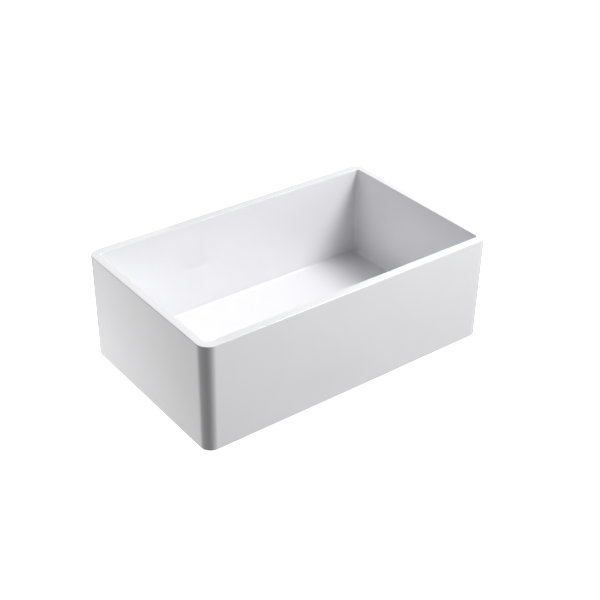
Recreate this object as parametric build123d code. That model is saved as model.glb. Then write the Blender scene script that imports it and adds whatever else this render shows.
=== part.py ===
"""Farmhouse apron front sink: a fireclay bowl with its basket strainer and tailpiece.

Millimetres, +Z up. X runs along the width and Y from the apron front (-Y) to the back.
The origin is on the drain axis, in the plane of the bowl's flat underside.
Every piece of the drain is turned about that axis, so its heights are given from the origin.
"""

import os

from build123d import *

# ---- driving dimensions of the bowl ----
BASIN_WIDTH = 755.0
BASIN_DEPTH = 460.0
BASIN_HEIGHT = 254.0
FRONT_WALL = 20.0
SIDE_WALL = 18.5
BACK_WALL = 23.0
OUTER_CORNER_RADIUS = 28.0
INNER_CORNER_RADIUS = 8.0
OUTER_DRAFT_DEG = 0.5
INNER_DRAFT_DEG = 0.3
RIM_OUTER_ROUND = 1.8
RIM_INNER_ROUND = 1.2
FOOT_ROUND = 2.0
FLOOR_FILLET = 6.0
FLOOR_AT_DRAIN = 25.0
FLOOR_SLOPE = 0.006

# ---- drain opening in the bowl's floor ----
DRAIN_HOLE_RADIUS = 45.0
FLANGE_RECESS_RADIUS = 59.0
FLANGE_RECESS_DEPTH = 3.0
GASKET_RECESS_RADIUS = 68.0
GASKET_RECESS_DEPTH = 5.0
RECESS_EDGE_ROUND = 1.2

# ---- strainer cup ----
FLANGE_RADIUS = 57.0
FLANGE_EDGE = 1.0
FLANGE_CROWN = 2.4
FLANGE_CROWN_RADIUS = 48.0
PUTTY_THICKNESS = 0.9
THREAD_RADIUS = 43.5
THREAD_DEPTH = 0.7
THREAD_PITCH = 2.3
PLAIN_NECK_LENGTH = 6.0
NECK_BORE_RADIUS = 42.0
BASKET_LEDGE_Z = 14.0
CUP_BORE_RADIUS = 40.0
CUP_WALL_FOOT_Z = -27.0
CUP_DISH_RADIUS = 26.0
CUP_BOTTOM_Z = -36.0
CUP_SHEET = 1.5

# ---- outlet collar, crimped into the cup's bottom ----
COLLAR_NECK_RADIUS = 21.0
COLLAR_LIP_RADIUS = 23.5
COLLAR_LIP_HEIGHT = 1.0
COLLAR_SHOULDER_RADIUS = 26.0
COLLAR_SHOULDER_HEIGHT = 2.5
COLLAR_THREAD_RADIUS = 23.9
COLLAR_BORE_RADIUS = 19.3
COLLAR_FOOT_Z = -60.0
CROSS_BARS = 4
CROSS_BAR_TOP_Z = -46.0
CROSS_BAR_SECTION = 3.0
HUB_RADIUS = 7.5
HUB_BORE_RADIUS = 4.6

# ---- pieces that clamp the strainer to the bowl ----
GASKET_RADIUS = 62.0
GASKET_THICKNESS = 3.5
FRICTION_RING_RADIUS = 60.0
FRICTION_RING_THICKNESS = 1.2
RING_CLEARANCE = 0.4
LOCKNUT_HEIGHT = 13.0
LOCKNUT_FLANGE_RADIUS = 58.0
LOCKNUT_FLANGE_THICKNESS = 2.5
LOCKNUT_BARREL_RADIUS = 50.0
LOCKNUT_LUGS = 8
LUG_WIDTH = 7.0
LUG_REACH = 6.0
THREAD_CLEARANCE = 0.1

# ---- tailpiece, 1 1/2 in ----
TAILPIECE_RADIUS = 19.05
TAILPIECE_NECK_RADIUS = 19.3
TAILPIECE_NECK_LENGTH = 5.0
TAILPIECE_WALL = 1.0
TAILPIECE_LENGTH = 102.0
TAILPIECE_FLANGE_RADIUS = 22.5
TAILPIECE_FLANGE_THICKNESS = 1.2
WASHER_THICKNESS = 2.0
SLIP_NUT_RADIUS = 27.5
SLIP_NUT_LIP = 3.0
SLIP_NUT_TOP_Z = -44.0
SLIP_NUT_RIBS = 12
RIB_WIDTH = 4.0
RIB_REACH = 1.5

# ---- stopper, which slides in the basket ----
STEM_RADIUS = 2.5
STEM_END_RADIUS = 1.8
STEM_END_LENGTH = 6.0
STEM_TOP_Z = 18.5
STEM_FOOT_Z = -53.0
STEM_SHOULDER_RADIUS = 4.5
STEM_SHOULDER_HEIGHT = 1.6
KNOB_RADIUS = 10.0
KNOB_WAIST_RADIUS = 4.0
KNOB_HEIGHT = 9.0
STOPPER_PLATE_RADIUS = 17.0
STOPPER_PLATE_THICKNESS = 1.0
STOPPER_RADIUS = 24.0
STOPPER_TOP_Z = -27.0
STOPPER_THICKNESS = 5.0
STOPPER_SKIRT = 2.7
STOPPER_NUT_RADIUS = 4.3
STOPPER_NUT_HEIGHT = 3.0
STOPPER_TRAVEL = 7.0
SNAP_CLIP_RADIUS = 4.3
SNAP_CLIP_NECK_RADIUS = 2.9
SNAP_CLIP_LENGTH = 12.0
SNAP_CLIP_SLIT = 0.8

# ---- basket ----
BASKET_RIM_RADIUS = 41.4
BASKET_RIM_HEIGHT = 2.8
BASKET_TOP_RADIUS = 38.6
BASKET_FOOT_RADIUS = 33.0
BASKET_FOOT_ROUND = 5.0
BASKET_SHEET = 0.8
BASKET_REST_GAP = 0.2
BASKET_HOLE_RADIUS = 1.5
BASKET_FLOOR_RINGS = ((14.0, 12), (20.5, 18), (27.0, 24))
BASKET_WALL_RINGS = (-8.0, -2.5, 3.0)
BASKET_WALL_HOLES = 30
BUSH_CLEARANCE = 0.1
BUSH_WALL = 1.5
BUSH_FLANGE_RADIUS = 6.5
BUSH_FLANGE_THICKNESS = 1.2
BUSH_TOP_HEIGHT = 4.0
STOP_CLEARANCE = 0.2

# ---- heights that follow from those above ----
FLANGE_SEAT_Z = FLOOR_AT_DRAIN - FLANGE_RECESS_DEPTH
FLANGE_FOOT_Z = FLANGE_SEAT_Z + PUTTY_THICKNESS
THREAD_TOP_Z = FLANGE_FOOT_Z - PLAIN_NECK_LENGTH
GASKET_FOOT_Z = GASKET_RECESS_DEPTH - GASKET_THICKNESS
LOCKNUT_TOP_Z = GASKET_FOOT_Z - FRICTION_RING_THICKNESS
LOCKNUT_FOOT_Z = LOCKNUT_TOP_Z - LOCKNUT_HEIGHT
COLLAR_GRIP_Z = CUP_BOTTOM_Z - CUP_SHEET
COLLAR_THREAD_TOP_Z = COLLAR_GRIP_Z - COLLAR_SHOULDER_HEIGHT
CROSS_BAR_FOOT_Z = CROSS_BAR_TOP_Z - CROSS_BAR_SECTION
TAILPIECE_TOP_Z = COLLAR_FOOT_Z - WASHER_THICKNESS
TAILPIECE_FLANGE_FOOT_Z = TAILPIECE_TOP_Z - TAILPIECE_FLANGE_THICKNESS
TAILPIECE_FOOT_Z = TAILPIECE_TOP_Z - TAILPIECE_LENGTH
STOPPER_FOOT_Z = STOPPER_TOP_Z - STOPPER_THICKNESS
STEM_SHOULDER_Z = STOPPER_TOP_Z + STOPPER_PLATE_THICKNESS
BUSH_FOOT_Z = STEM_SHOULDER_Z + STEM_SHOULDER_HEIGHT + STOPPER_TRAVEL + STOP_CLEARANCE
BASKET_BOTTOM_Z = BUSH_FOOT_Z + BUSH_FLANGE_THICKNESS
BASKET_RIM_FOOT_Z = BASKET_LEDGE_Z + BASKET_REST_GAP
BASKET_WALL_FOOT_Z = BASKET_BOTTOM_Z + BASKET_FOOT_ROUND


def turned(*corners):
    """A solid of revolution about the drain axis. Each corner is (radius, height) or (radius, height, round)."""
    points = [(corner[0], 0, corner[1]) for corner in corners]
    rounds = [corner[2] if len(corner) > 2 else 0 for corner in corners]
    outline = FilletPolyline(*points, radius=rounds, close=True)
    return revolve(make_face(outline), Axis.Z)


def ring(outer_radius, inner_radius, foot_z, top_z):
    """A plain washer or tube about the drain axis."""
    return turned((inner_radius, foot_z), (outer_radius, foot_z), (outer_radius, top_z), (inner_radius, top_z))


def radial_bars(count, inner_radius, outer_radius, width, foot_z, top_z):
    """Bars that stand out from the drain axis like spokes, as the lugs and ribs of a nut do."""
    length = outer_radius - inner_radius
    bar = Pos(0, 0, (foot_z + top_z) / 2) * Box(length, width, top_z - foot_z)
    return Part() + [place * bar for place in PolarLocations(inner_radius + length / 2, count)]


def thread_corners(crest_radius, top_z, foot_z):
    """Section corners of a thread drawn as rings, from the top down."""
    root_radius = crest_radius - THREAD_DEPTH
    corners = []
    for turn in range(int((top_z - foot_z) / THREAD_PITCH)):
        crest_z = top_z - turn * THREAD_PITCH
        corners += [
            (crest_radius, crest_z - 0.15 * THREAD_PITCH),
            (crest_radius, crest_z - 0.35 * THREAD_PITCH),
            (root_radius, crest_z - 0.65 * THREAD_PITCH),
            (root_radius, crest_z - 0.85 * THREAD_PITCH),
        ]
    return corners


# ---- bowl ----
def bowl_cavity():
    """The bowl's inside: a drafted prism with rounded corners, down to a floor that falls to the drain."""
    width = BASIN_WIDTH - 2 * SIDE_WALL
    depth = BASIN_DEPTH - FRONT_WALL - BACK_WALL
    opening = Pos(0, (FRONT_WALL - BACK_WALL) / 2) * RectangleRounded(width, depth, INNER_CORNER_RADIUS)
    prism = extrude(Plane.XY.offset(BASIN_HEIGHT) * opening, -BASIN_HEIGHT, taper=INNER_DRAFT_DEG)
    far_radius = BASIN_WIDTH
    far_z = FLOOR_AT_DRAIN + (far_radius - FLANGE_RECESS_RADIUS) * FLOOR_SLOPE
    below_floor = turned(
        (0, -1),
        (far_radius, -1),
        (far_radius, far_z),
        (FLANGE_RECESS_RADIUS, FLOOR_AT_DRAIN),
        (0, FLOOR_AT_DRAIN),
    )
    cavity = prism - below_floor
    near_floor = cavity.edges().filter_by(lambda edge: edge.center().Z < FLOOR_AT_DRAIN + FLOOR_FILLET)
    round_the_walls = near_floor.filter_by(
        lambda edge: max(abs(edge.center().X), abs(edge.center().Y)) > GASKET_RECESS_RADIUS
    )
    return fillet(round_the_walls, FLOOR_FILLET)


def sink_basin():
    outline = RectangleRounded(BASIN_WIDTH, BASIN_DEPTH, OUTER_CORNER_RADIUS)
    block = extrude(Plane.XY.offset(BASIN_HEIGHT) * outline, -BASIN_HEIGHT, taper=OUTER_DRAFT_DEG)
    basin = block - bowl_cavity()
    rim = basin.faces().sort_by(Axis.Z)[-1]
    basin = fillet(rim.outer_wire().edges(), RIM_OUTER_ROUND)
    rim = basin.faces().sort_by(Axis.Z)[-1]
    basin = fillet(rim.inner_wires()[0].edges(), RIM_INNER_ROUND)
    underside = basin.faces().sort_by(Axis.Z)[0]
    basin = fillet(underside.outer_wire().edges(), FOOT_ROUND)
    basin -= ring(FLANGE_RECESS_RADIUS, 0, FLANGE_SEAT_Z, FLOOR_AT_DRAIN + FLANGE_RECESS_DEPTH)
    basin -= ring(DRAIN_HOLE_RADIUS, 0, -1, FLOOR_AT_DRAIN)
    basin -= ring(GASKET_RECESS_RADIUS, 0, -1, GASKET_RECESS_DEPTH)
    circles = basin.edges().filter_by(GeomType.CIRCLE)
    recess_edge = circles.filter_by(
        lambda edge: abs(edge.radius - FLANGE_RECESS_RADIUS) < 0.1 and edge.center().Z > FLANGE_SEAT_Z + 1
    )
    return fillet(recess_edge, RECESS_EDGE_ROUND)


# ---- strainer, and what clamps it to the bowl ----
def strainer_body():
    """A heavy cup: a crowned flange over the floor's recess, a threaded wall and a dished bottom."""
    wall_foot_radius = THREAD_RADIUS - THREAD_DEPTH
    return turned(
        (FLANGE_RADIUS, FLANGE_FOOT_Z),
        (FLANGE_RADIUS, FLANGE_FOOT_Z + FLANGE_EDGE, 0.5),
        (FLANGE_CROWN_RADIUS, FLANGE_FOOT_Z + FLANGE_CROWN, 12.0),
        (NECK_BORE_RADIUS, FLANGE_FOOT_Z + FLANGE_CROWN, 2.2),
        (NECK_BORE_RADIUS, BASKET_LEDGE_Z),
        (CUP_BORE_RADIUS, BASKET_LEDGE_Z),
        (CUP_BORE_RADIUS, CUP_WALL_FOOT_Z, 5.0),
        (CUP_DISH_RADIUS, CUP_BOTTOM_Z, 4.0),
        (COLLAR_NECK_RADIUS, CUP_BOTTOM_Z),
        (COLLAR_NECK_RADIUS, COLLAR_GRIP_Z),
        (CUP_DISH_RADIUS + 0.5, COLLAR_GRIP_Z, 5.0),
        (wall_foot_radius, CUP_WALL_FOOT_Z - 2.5, 4.0),
        *reversed(thread_corners(THREAD_RADIUS, THREAD_TOP_Z, CUP_WALL_FOOT_Z)),
        (THREAD_RADIUS, THREAD_TOP_Z),
        (THREAD_RADIUS, FLANGE_FOOT_Z),
    )


def outlet_collar():
    """The collar grips the edge of the cup's bottom between its lip and its shoulder, and holds the cross bars."""
    shell = turned(
        (COLLAR_BORE_RADIUS, CUP_BOTTOM_Z + COLLAR_LIP_HEIGHT, 0.8),
        (COLLAR_LIP_RADIUS, CUP_BOTTOM_Z + COLLAR_LIP_HEIGHT, 0.8),
        (COLLAR_LIP_RADIUS, CUP_BOTTOM_Z),
        (COLLAR_NECK_RADIUS, CUP_BOTTOM_Z),
        (COLLAR_NECK_RADIUS, COLLAR_GRIP_Z),
        (COLLAR_SHOULDER_RADIUS, COLLAR_GRIP_Z),
        (COLLAR_SHOULDER_RADIUS, COLLAR_THREAD_TOP_Z, 0.5),
        (COLLAR_THREAD_RADIUS, COLLAR_THREAD_TOP_Z),
        *thread_corners(COLLAR_THREAD_RADIUS, COLLAR_THREAD_TOP_Z, COLLAR_FOOT_Z),
        (COLLAR_THREAD_RADIUS - THREAD_DEPTH, COLLAR_FOOT_Z),
        (COLLAR_BORE_RADIUS, COLLAR_FOOT_Z),
    )
    bar_reach = COLLAR_BORE_RADIUS + 0.5
    bars = radial_bars(
        CROSS_BARS, HUB_BORE_RADIUS + 1, bar_reach, CROSS_BAR_SECTION, CROSS_BAR_FOOT_Z, CROSS_BAR_TOP_Z
    )
    hub = ring(HUB_RADIUS, HUB_BORE_RADIUS, CROSS_BAR_FOOT_Z, CROSS_BAR_TOP_Z)
    return shell + bars + hub


def putty_seal():
    return ring(FLANGE_RADIUS - 0.7, THREAD_RADIUS + RING_CLEARANCE + 1.5, FLANGE_SEAT_Z, FLANGE_FOOT_Z)


def rubber_gasket():
    return ring(GASKET_RADIUS, THREAD_RADIUS + RING_CLEARANCE, GASKET_FOOT_Z, GASKET_RECESS_DEPTH)


def friction_ring():
    return ring(FRICTION_RING_RADIUS, THREAD_RADIUS + RING_CLEARANCE, LOCKNUT_TOP_Z, GASKET_FOOT_Z)


def locknut():
    """A flanged ring with lugs round its barrel for a spud wrench."""
    bore = THREAD_RADIUS + THREAD_CLEARANCE
    flange_foot_z = LOCKNUT_TOP_Z - LOCKNUT_FLANGE_THICKNESS
    body = turned(
        (bore, LOCKNUT_TOP_Z),
        (LOCKNUT_FLANGE_RADIUS, LOCKNUT_TOP_Z),
        (LOCKNUT_FLANGE_RADIUS, flange_foot_z, 0.8),
        (LOCKNUT_BARREL_RADIUS, flange_foot_z, 1.5),
        (LOCKNUT_BARREL_RADIUS, LOCKNUT_FOOT_Z, 1.0),
        (bore, LOCKNUT_FOOT_Z, 1.0),
    )
    lug_reach = LOCKNUT_BARREL_RADIUS + LUG_REACH
    lugs = radial_bars(
        LOCKNUT_LUGS, LOCKNUT_BARREL_RADIUS - 2, lug_reach, LUG_WIDTH, LOCKNUT_FOOT_Z + 1, flange_foot_z + 0.5
    )
    return body + lugs


def tailpiece_washer():
    return ring(TAILPIECE_FLANGE_RADIUS, COLLAR_BORE_RADIUS, TAILPIECE_TOP_Z, COLLAR_FOOT_Z)


def tailpiece():
    """A thin tube with a flat flange and, just below it, a neck a little wider than the tube."""
    bore = TAILPIECE_RADIUS - TAILPIECE_WALL
    neck_foot_z = TAILPIECE_FLANGE_FOOT_Z - TAILPIECE_NECK_LENGTH
    return turned(
        (bore, TAILPIECE_TOP_Z, 1.0),
        (TAILPIECE_FLANGE_RADIUS, TAILPIECE_TOP_Z),
        (TAILPIECE_FLANGE_RADIUS, TAILPIECE_FLANGE_FOOT_Z),
        (TAILPIECE_NECK_RADIUS, TAILPIECE_FLANGE_FOOT_Z),
        (TAILPIECE_NECK_RADIUS, neck_foot_z),
        (TAILPIECE_RADIUS, neck_foot_z),
        (TAILPIECE_RADIUS, TAILPIECE_FOOT_Z),
        (bore, TAILPIECE_FOOT_Z),
    )


def slip_nut():
    """A hand nut: its lip holds the tailpiece's flange up against the washer and the collar."""
    bore = COLLAR_THREAD_RADIUS + THREAD_CLEARANCE
    lip_bore = TAILPIECE_NECK_RADIUS + RING_CLEARANCE
    foot_z = TAILPIECE_FLANGE_FOOT_Z - SLIP_NUT_LIP
    body = turned(
        (bore, SLIP_NUT_TOP_Z, 0.5),
        (SLIP_NUT_RADIUS, SLIP_NUT_TOP_Z, 1.0),
        (SLIP_NUT_RADIUS, foot_z, 2.5),
        (lip_bore, foot_z, 0.8),
        (lip_bore, TAILPIECE_FLANGE_FOOT_Z),
        (bore, TAILPIECE_FLANGE_FOOT_Z),
    )
    rib_reach = SLIP_NUT_RADIUS + RIB_REACH
    ribs = radial_bars(
        SLIP_NUT_RIBS, SLIP_NUT_RADIUS - 1, rib_reach, RIB_WIDTH, foot_z + 3, SLIP_NUT_TOP_Z - 2
    )
    return body + ribs


# ---- stopper ----
def stopper_stem():
    """A rod with a shoulder that bears on the plate. Its thin ends go into the knob, the stopper and the clip."""
    return turned(
        (0, STEM_FOOT_Z),
        (STEM_END_RADIUS, STEM_FOOT_Z),
        (STEM_END_RADIUS, STEM_SHOULDER_Z),
        (STEM_SHOULDER_RADIUS, STEM_SHOULDER_Z),
        (STEM_SHOULDER_RADIUS, STEM_SHOULDER_Z + STEM_SHOULDER_HEIGHT, 0.5),
        (STEM_RADIUS, STEM_SHOULDER_Z + STEM_SHOULDER_HEIGHT),
        (STEM_RADIUS, STEM_TOP_Z - STEM_END_LENGTH),
        (STEM_END_RADIUS, STEM_TOP_Z - STEM_END_LENGTH),
        (STEM_END_RADIUS, STEM_TOP_Z),
        (0, STEM_TOP_Z),
    )


def pull_knob():
    """A mushroom knob with a waist for two fingers, screwed on the stem's top."""
    foot_z = STEM_TOP_Z - STEM_END_LENGTH
    top_z = foot_z + KNOB_HEIGHT
    return turned(
        (STEM_END_RADIUS, foot_z),
        (KNOB_WAIST_RADIUS + 0.8, foot_z, 0.4),
        (KNOB_WAIST_RADIUS, foot_z + 0.55 * KNOB_HEIGHT, 3.0),
        (KNOB_RADIUS, foot_z + 0.68 * KNOB_HEIGHT, 0.9),
        (KNOB_RADIUS, foot_z + 0.85 * KNOB_HEIGHT, 1.0),
        (0.5 * KNOB_RADIUS, top_z, 6.0),
        (0, top_z),
        (0, STEM_TOP_Z),
        (STEM_END_RADIUS, STEM_TOP_Z),
    )


def stopper_washer():
    return ring(STOPPER_PLATE_RADIUS, STEM_END_RADIUS, STOPPER_TOP_Z, STEM_SHOULDER_Z)


def stopper_seal():
    """A rubber disc with a sloped skirt, whose rim lies just above the collar's lip when it is down."""
    skirt_z = STOPPER_FOOT_Z - STOPPER_SKIRT
    return turned(
        (STEM_END_RADIUS, STOPPER_FOOT_Z),
        (STOPPER_PLATE_RADIUS, STOPPER_FOOT_Z, 3.0),
        (STOPPER_RADIUS - 3, skirt_z, 0.5),
        (STOPPER_RADIUS, skirt_z, 0.6),
        (STOPPER_PLATE_RADIUS + 1.5, STOPPER_TOP_Z, 1.5),
        (STEM_END_RADIUS, STOPPER_TOP_Z),
    )


def stopper_nut():
    hexagon = extrude(RegularPolygon(STOPPER_NUT_RADIUS, 6), STOPPER_NUT_HEIGHT)
    nut = hexagon - Cylinder(STEM_END_RADIUS, 3 * STOPPER_NUT_HEIGHT)
    return Pos(0, 0, STOPPER_FOOT_Z - STOPPER_NUT_HEIGHT) * nut


def snap_clip():
    """A split nylon bulb that snaps through the hub of the cross bars. The slit lets its sides give."""
    foot_z = STEM_FOOT_Z - 1
    top_z = foot_z + SNAP_CLIP_LENGTH
    bulb = turned(
        (STEM_END_RADIUS, STEM_FOOT_Z),
        (STEM_END_RADIUS, top_z),
        (SNAP_CLIP_NECK_RADIUS, top_z),
        (SNAP_CLIP_NECK_RADIUS, foot_z + 0.62 * SNAP_CLIP_LENGTH, 2.0),
        (SNAP_CLIP_RADIUS, foot_z + 0.3 * SNAP_CLIP_LENGTH, 1.5),
        (SNAP_CLIP_RADIUS - 1.8, foot_z, 0.8),
        (0, foot_z),
        (0, STEM_FOOT_Z),
    )
    slit = Box(SNAP_CLIP_SLIT, 3 * SNAP_CLIP_RADIUS, 0.5 * SNAP_CLIP_LENGTH)
    slit = slit - Cylinder(STEM_END_RADIUS + 0.2, SNAP_CLIP_LENGTH)
    return bulb - Pos(0, 0, foot_z + 0.45 * SNAP_CLIP_LENGTH) * slit


# ---- basket ----
def basket_holes():
    """Drills for the round holes: rings of them in the basket's bottom, and rows of them round its wall."""
    drill = Cylinder(BASKET_HOLE_RADIUS, 8 * BASKET_SHEET)
    holes = [
        place * drill
        for radius, count in BASKET_FLOOR_RINGS
        for place in Pos(0, 0, BASKET_BOTTOM_Z) * PolarLocations(radius, count)
    ]
    wall_slope = (BASKET_TOP_RADIUS - BASKET_FOOT_RADIUS) / (BASKET_RIM_FOOT_Z - BASKET_WALL_FOOT_Z)
    for row, hole_z in enumerate(BASKET_WALL_RINGS):
        wall_radius = BASKET_FOOT_RADIUS + wall_slope * (hole_z - BASKET_WALL_FOOT_Z)
        half_step = 180 / BASKET_WALL_HOLES * (row % 2)
        around = PolarLocations(wall_radius, BASKET_WALL_HOLES, start_angle=half_step)
        holes += [place * Rot(0, 90, 0) * drill for place in Pos(0, 0, hole_z) * around]
    return holes


def basket_cup():
    """A pressed cup with a rolled rim, which rests on the strainer's ledge, and rings of round holes."""
    sheet = BASKET_SHEET
    bush_hole = STEM_RADIUS + BUSH_CLEARANCE + BUSH_WALL
    rim_top_z = BASKET_RIM_FOOT_Z + BASKET_RIM_HEIGHT
    cup = turned(
        (bush_hole, BASKET_BOTTOM_Z),
        (BASKET_FOOT_RADIUS - 1, BASKET_BOTTOM_Z, BASKET_FOOT_ROUND),
        (BASKET_TOP_RADIUS, BASKET_RIM_FOOT_Z),
        (BASKET_RIM_RADIUS, BASKET_RIM_FOOT_Z, 1.2),
        (BASKET_RIM_RADIUS, rim_top_z, 1.2),
        (BASKET_TOP_RADIUS - sheet + 0.5, rim_top_z, 1.5),
        (BASKET_TOP_RADIUS - sheet, BASKET_RIM_FOOT_Z),
        (BASKET_FOOT_RADIUS - 1 - sheet, BASKET_BOTTOM_Z + sheet, BASKET_FOOT_ROUND - sheet),
        (bush_hole, BASKET_BOTTOM_Z + sheet),
    )
    return cup - basket_holes()


def stem_bush():
    """A nylon bush whose flanges grip the basket's bottom, above and below."""
    bore = STEM_RADIUS + BUSH_CLEARANCE
    neck = bore + BUSH_WALL
    sheet_top_z = BASKET_BOTTOM_Z + BASKET_SHEET
    return turned(
        (bore, BUSH_FOOT_Z),
        (BUSH_FLANGE_RADIUS, BUSH_FOOT_Z, 0.4),
        (BUSH_FLANGE_RADIUS, BASKET_BOTTOM_Z),
        (neck, BASKET_BOTTOM_Z),
        (neck, sheet_top_z),
        (BUSH_FLANGE_RADIUS, sheet_top_z),
        (BUSH_FLANGE_RADIUS, sheet_top_z + BUSH_FLANGE_THICKNESS, 0.4),
        (neck, sheet_top_z + BUSH_TOP_HEIGHT, 0.6),
        (bore, sheet_top_z + BUSH_TOP_HEIGHT),
    )


NODES = (
    sink_basin,
    strainer_body,
    outlet_collar,
    putty_seal,
    rubber_gasket,
    friction_ring,
    locknut,
    tailpiece_washer,
    tailpiece,
    slip_nut,
    basket_cup,
    stem_bush,
    stopper_stem,
    pull_knob,
    stopper_washer,
    stopper_seal,
    stopper_nut,
    snap_clip,
)

os.makedirs("parts", exist_ok=True)
for make in NODES:
    export_step(make(), f"parts/{make.__name__}.step")
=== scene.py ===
"""Looks of the farmhouse apron front sink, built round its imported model.

Lengths are millimetres until a mesh is made, which turns them into metres. The floor, the lights and
the camera are in metres. +Z is up, X runs along the width, and Y from the apron front (-Y) to the back.
"""

import math

import bmesh
import bpy
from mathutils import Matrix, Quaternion, Vector, noise


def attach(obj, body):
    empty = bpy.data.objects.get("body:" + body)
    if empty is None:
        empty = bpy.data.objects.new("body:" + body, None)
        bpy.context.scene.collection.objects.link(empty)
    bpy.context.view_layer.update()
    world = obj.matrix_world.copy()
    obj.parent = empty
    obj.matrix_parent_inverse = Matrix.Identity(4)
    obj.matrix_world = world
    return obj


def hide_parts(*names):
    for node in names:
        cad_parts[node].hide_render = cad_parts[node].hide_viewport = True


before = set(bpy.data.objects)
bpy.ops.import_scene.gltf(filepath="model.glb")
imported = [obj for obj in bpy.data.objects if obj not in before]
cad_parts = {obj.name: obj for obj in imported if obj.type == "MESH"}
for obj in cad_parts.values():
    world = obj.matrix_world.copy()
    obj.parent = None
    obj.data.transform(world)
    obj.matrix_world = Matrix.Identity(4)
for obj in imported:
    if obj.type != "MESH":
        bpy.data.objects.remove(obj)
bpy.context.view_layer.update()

MM = 0.001

# ---- bowl ----
BASIN_WIDTH = 755.0
BASIN_DEPTH = 460.0
BASIN_HEIGHT = 254.0
FRONT_WALL = 20.0
SIDE_WALL = 18.5
BACK_WALL = 23.0
OUTER_CORNER = 28.0
INNER_CORNER = 8.0
OUTER_DRAFT = math.tan(math.radians(0.5))
INNER_DRAFT = math.tan(math.radians(0.3))
RIM_OUTER_ROUND = 1.8
RIM_INNER_ROUND = 1.2
FOOT_ROUND = 2.0
FLOOR_FILLET = 6.0
FLOOR_AT_DRAIN = 25.0
FLOOR_SLOPE = 0.006
DRAIN_HOLE = 45.0
DRAIN_EDGE_ROUND = 1.0
FLANGE_RECESS = 59.0
FLANGE_SEAT_Z = 22.0
GASKET_RECESS = 68.0
GASKET_RECESS_Z = 5.0
RECESS_EDGE_ROUND = 1.2
CLAY_EDGE_ROUND = 0.8

# ---- strainer cup: its flange on the bowl, its neck, and the cup below ----
FLANGE_RADIUS = 57.0
FLANGE_FOOT_Z = 22.9
FLANGE_EDGE_Z = 23.9
CROWN_RADIUS = 48.0
CROWN_Z = 25.3
NECK_BORE = 42.0
BASKET_LEDGE_Z = 14.0
CUP_BORE = 40.0
CUP_WALL_FOOT_Z = -27.0
CUP_WALL_END_Z = -29.5
CUP_DISH = 26.0
CUP_DISH_OUTSIDE = 26.5
CUP_BOTTOM_Z = -36.0
CUP_UNDERSIDE_Z = -37.5
CUP_THREAD = 43.5
CUP_THREAD_TOP_Z = 16.0
THREAD_RELIEF_Z = 16.4
PLAIN_NECK_Z = 17.2

# ---- threads ----
THREAD_PITCH = 2.3
THREAD_DEPTH = 0.7
THREAD_BEDDING = 0.15
THREAD_FADE_TURNS = 0.35

# ---- outlet collar under the cup, with a hub on cross bars ----
COLLAR_BORE = 19.3
COLLAR_NECK = 21.0
COLLAR_LIP = 23.5
COLLAR_LIP_Z = -35.0
COLLAR_SHOULDER = 26.0
COLLAR_SHOULDER_Z = -40.0
COLLAR_THREAD = 23.9
COLLAR_THREAD_TOP_Z = -41.0
COLLAR_THREAD_FOOT_Z = -59.2
COLLAR_FOOT_Z = -60.0
HUB_RADIUS = 7.5
HUB_BORE = 4.6
CROSS_BARS = 4
BAR_HALF_WIDTH = 1.5
BAR_TOP_Z = -46.0
BAR_FOOT_Z = -49.0
BAR_STATIONS = (5.6, 7.0, 10.0, 14.0, 18.0, 19.8)

# ---- putty, gasket and fibre ring between the strainer and the bowl ----
PUTTY_BORE = 45.4
PUTTY_EDGE = 55.4
PUTTY_PRESSED_OUT = 1.3
PUTTY_UNEVEN = 0.45
PUTTY_WAVES = 3.5
CLAMP_BORE = 43.9
GASKET_RADIUS = 62.0
GASKET_FOOT_Z = 1.5
FIBRE_RING_RADIUS = 60.0
FIBRE_RING_FOOT_Z = 0.3

# ---- tailpiece ----
TUBE_RADIUS = 19.05
TUBE_BORE = 18.05
TUBE_NECK = 19.3
TUBE_NECK_FOOT_Z = -68.2
TUBE_STEP_Z = -68.5
TUBE_FLANGE = 22.5
TUBE_TOP_Z = -62.0
TUBE_FLANGE_FOOT_Z = -63.2
TUBE_FOOT_Z = -164.0

# ---- basket, and the bush in its bottom ----
BASKET_TOP = 38.6
BASKET_FOOT = 33.0
BASKET_FLOOR_EDGE = 32.0
BASKET_FOOT_ROUND = 5.0
BASKET_BOTTOM_Z = -16.0
BASKET_WALL_FOOT_Z = -11.0
BASKET_RIM = 41.4
BASKET_RIM_FOOT_Z = 14.2
BASKET_RIM_TOP_Z = 17.0
BUSH_HOLE = 4.1
BUSH_BORE = 2.6
BUSH_FLANGE = 6.5
BUSH_FOOT_Z = -17.2
BUSH_GROOVE_TOP_Z = -15.2
BUSH_COLLAR_Z = -14.0
BUSH_TOP_Z = -11.2

# ---- stopper ----
STEM_RADIUS = 2.5
STEM_END = 1.8
STEM_FOOT_Z = -53.0
STEM_TOP_Z = 18.5
STEM_SHOULDER = 4.5
STEM_SHOULDER_TOP_Z = -24.4
KNOB_RADIUS = 10.0
KNOB_FOOT_Z = 12.5
KNOB_TOP_Z = 21.5
PLATE_RADIUS = 17.0
PLATE_TOP_Z = -26.0
STOPPER_TOP_Z = -27.0
STOPPER_FOOT_Z = -32.0
STOPPER_SKIRT_Z = -34.7
STOPPER_RADIUS = 24.0
HEX_NUT_FOOT_Z = -35.0
HEX_NUT_RADIUS = 4.3
HEX_NUT_CORNER = 4.24
HEX_NUT_BORE = 1.82
HEX_NUT_BORE_MOUTH = 2.1
HEX_NUT_BORE_CHAMFER = 0.28


# ======== meshes ========
def outward(mesh):
    """Turns every closed shell of a mesh the right way out."""
    work = bmesh.new()
    work.from_mesh(mesh)
    bmesh.ops.recalc_face_normals(work, faces=work.faces)
    work.to_mesh(mesh)
    work.free()


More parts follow.
